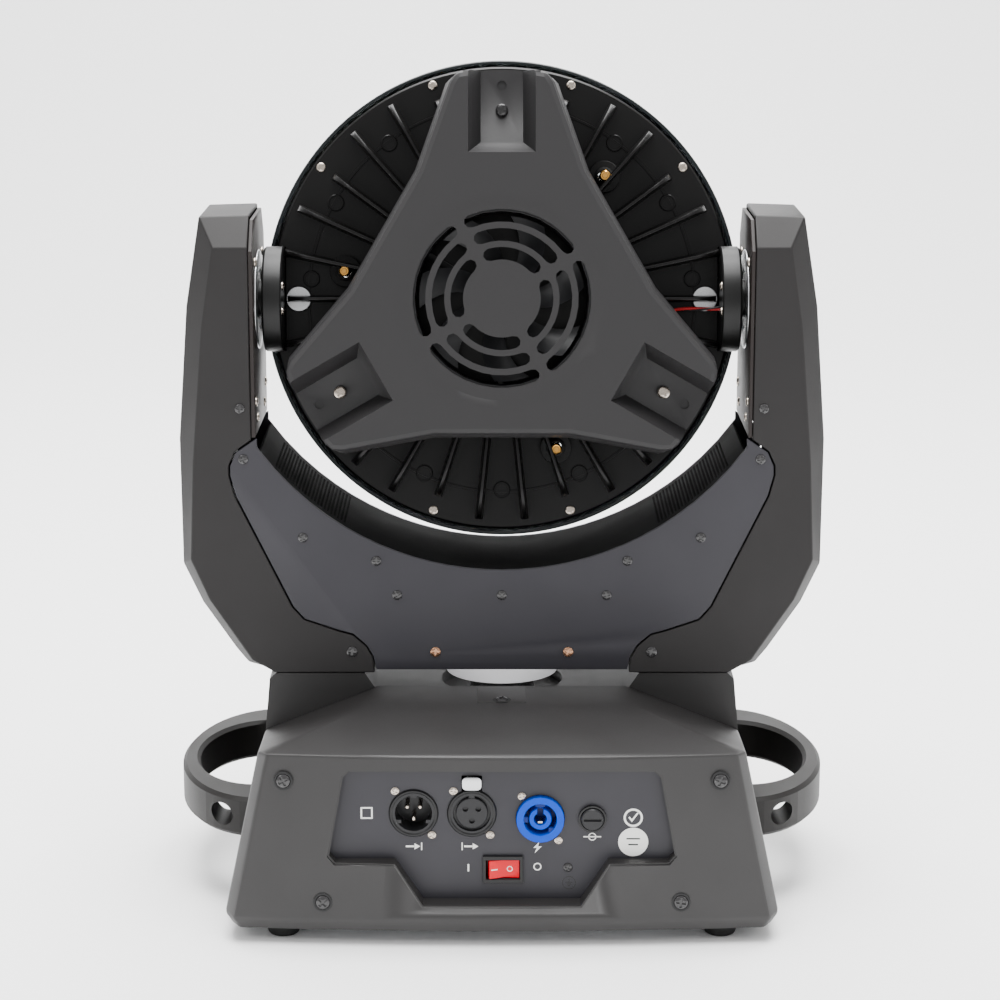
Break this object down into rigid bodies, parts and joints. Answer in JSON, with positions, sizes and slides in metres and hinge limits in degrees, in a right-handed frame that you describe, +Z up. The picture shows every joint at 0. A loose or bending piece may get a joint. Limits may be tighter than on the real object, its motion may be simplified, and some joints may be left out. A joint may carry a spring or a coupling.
{
  "type": "moving head light",
  "caption": "Moving head stage light: a floor base with sockets and handles, a panning U-shaped yoke and a tilting round LED head with a finned back and fan.",
  "frame": {"origin": "on the floor under the middle of the base, on the pan axis", "axes": "+Z up along the pan axis, +Y towards the light's front, -Y the side with the sockets, +X along the tilt axis"},
  "size_m": [0.358, 0.2794, 0.4447],
  "materials": {
    "cover_black": "fine matt black",
    "panel_grey": "matt dark grey paint",
    "band_steel": "matt black paint",
    "sink_black": "black coating",
    "fan_cover": "fine matt black",
    "bare_steel": "turned",
    "aluminium": "machined",
    "brass": "turned",
    "rubber": "matt",
    "plastic_black": "moulded",
    "plastic_blue": "moulded",
    "plastic_red": "moulded",
    "wire_red": "cable sheath",
    "board_white": "white board",
    "glass": "clear"
  },
  "bodies": {
    "base": {"base_plate": "bare_steel", "handle_left": "cover_black", "handle_right": "cover_black", "base_rear_cover": "cover_black", "base_front_cover": "cover_black", "base_center_frame": "cover_black", "rubber_foot_1": "rubber", "rubber_foot_2": "rubber", "rubber_foot_3": "rubber", "rubber_foot_4": "rubber", "power_supply": "aluminium", "pan_spindle": "bare_steel", "pan_ring_pulley": "aluminium", "connector_panel": "panel_grey", "xlr_in_socket": "plastic_black", "xlr_out_socket": "plastic_black", "power_inlet": "plastic_blue", "fuse_holder": "plastic_black", "switch_bezel": "plastic_black", "display_panel": "panel_grey", "display_module": "plastic_black"},
    "yoke": {"yoke_pan_hub": "bare_steel", "yoke_band": "band_steel", "yoke_rear_panel": "panel_grey", "yoke_front_panel": "panel_grey", "left_arm_cover": "cover_black", "right_arm_cover": "cover_black", "left_arm_plate": "band_steel", "right_arm_plate": "band_steel", "left_tilt_bearing": "bare_steel", "right_tilt_bearing": "bare_steel", "pan_motor": "plastic_black", "tilt_motor": "plastic_black", "pan_belt": "rubber", "tilt_belt": "rubber"},
    "head": {"head_heatsink": "sink_black", "fan_cover": "fan_cover", "fan_frame": "plastic_black", "head_ring": "sink_black", "head_hub_left": "sink_black", "head_hub_right": "sink_black", "tilt_ring_pulley": "aluminium", "led_board": "board_white", "front_glass": "glass", "guide_rod_1": "brass", "guide_rod_2": "brass", "guide_rod_3": "brass", "zoom_motor": "bare_steel", "fan_lead": "wire_red"},
    "fan_rotor": {"fan_rotor": "plastic_black"},
    "lens_carriage": {"lens_carriage": "plastic_black"},
    "pan_motor_pulley": {"pan_motor_pulley": "brass"},
    "tilt_motor_pulley": {"tilt_motor_pulley": "brass"},
    "power_switch_rocker": {"power_switch_rocker": "plastic_red"},
    "fuse_cap": {"fuse_cap": "plastic_black"},
    "xlr_latch_tab": {"xlr_latch_tab": "bare_steel"},
    "menu_button_1": {"menu_button_1": "rubber"},
    "menu_button_2": {"menu_button_2": "rubber"},
    "menu_button_3": {"menu_button_3": "rubber"},
    "menu_button_4": {"menu_button_4": "rubber"}
  },
  "joints": [
    {"name": "pan", "type": "hinge", "parent": "base", "child": "yoke", "pos_m": [0, 0, 0.11], "axis": [0, 0, 1], "range_deg": [-270, 270]},
    {"name": "tilt", "type": "hinge", "parent": "yoke", "child": "head", "pos_m": [0, 0, 0.319], "axis": [1, 0, 0], "range_deg": [-36, 234]},
    {"name": "fan_spin", "type": "hinge", "parent": "head", "child": "fan_rotor", "pos_m": [0, 0, 0.319], "axis": [0, 0.9877, -0.1564], "continuous": true},
    {"name": "zoom_slide", "type": "slide", "parent": "head", "child": "lens_carriage", "axis": [0, 0.9877, -0.1564], "range_m": [0, 0.008]},
    {"name": "power_switch", "type": "hinge", "parent": "base", "child": "power_switch_rocker", "pos_m": [0.0005, -0.1225, 0.0386], "axis": [0, 0, 1], "range_deg": [-16, 0]},
    {"name": "fuse_cap_turn", "type": "hinge", "parent": "base", "child": "fuse_cap", "pos_m": [0.047, -0.12, 0.0664], "axis": [0, 1, 0], "range_deg": [0, 90]},
    {"name": "xlr_latch_push", "type": "slide", "parent": "base", "child": "xlr_latch_tab", "axis": [0, 1, 0], "range_m": [0, 0.0015], "stiffness_N_per_m": 400},
    {"name": "menu_button_1_push", "type": "slide", "parent": "base", "child": "menu_button_1", "axis": [0, -1, 0], "range_m": [0, 0.001], "stiffness_N_per_m": 300},
    {"name": "menu_button_2_push", "type": "slide", "parent": "base", "child": "menu_button_2", "axis": [0, -1, 0], "range_m": [0, 0.001], "stiffness_N_per_m": 300},
    {"name": "menu_button_3_push", "type": "slide", "parent": "base", "child": "menu_button_3", "axis": [0, -1, 0], "range_m": [0, 0.001], "stiffness_N_per_m": 300},
    {"name": "menu_button_4_push", "type": "slide", "parent": "base", "child": "menu_button_4", "axis": [0, -1, 0], "range_m": [0, 0.001], "stiffness_N_per_m": 300},
    {"name": "pan_motor_pulley_spin", "type": "hinge", "parent": "yoke", "child": "pan_motor_pulley", "pos_m": [0.075, 0, 0.13], "axis": [0, 0, 1], "range_deg": [-1150, 1150]},
    {"name": "tilt_motor_pulley_spin", "type": "hinge", "parent": "yoke", "child": "tilt_motor_pulley", "pos_m": [-0.14, 0, 0.221], "axis": [1, 0, 0], "range_deg": [-120, 765]}
  ],
  "couplings": [
    {"joint": "pan_motor_pulley_spin", "follows": "pan", "ratio": -4.25},
    {"joint": "tilt_motor_pulley_spin", "follows": "tilt", "ratio": 3.25}
  ]
}
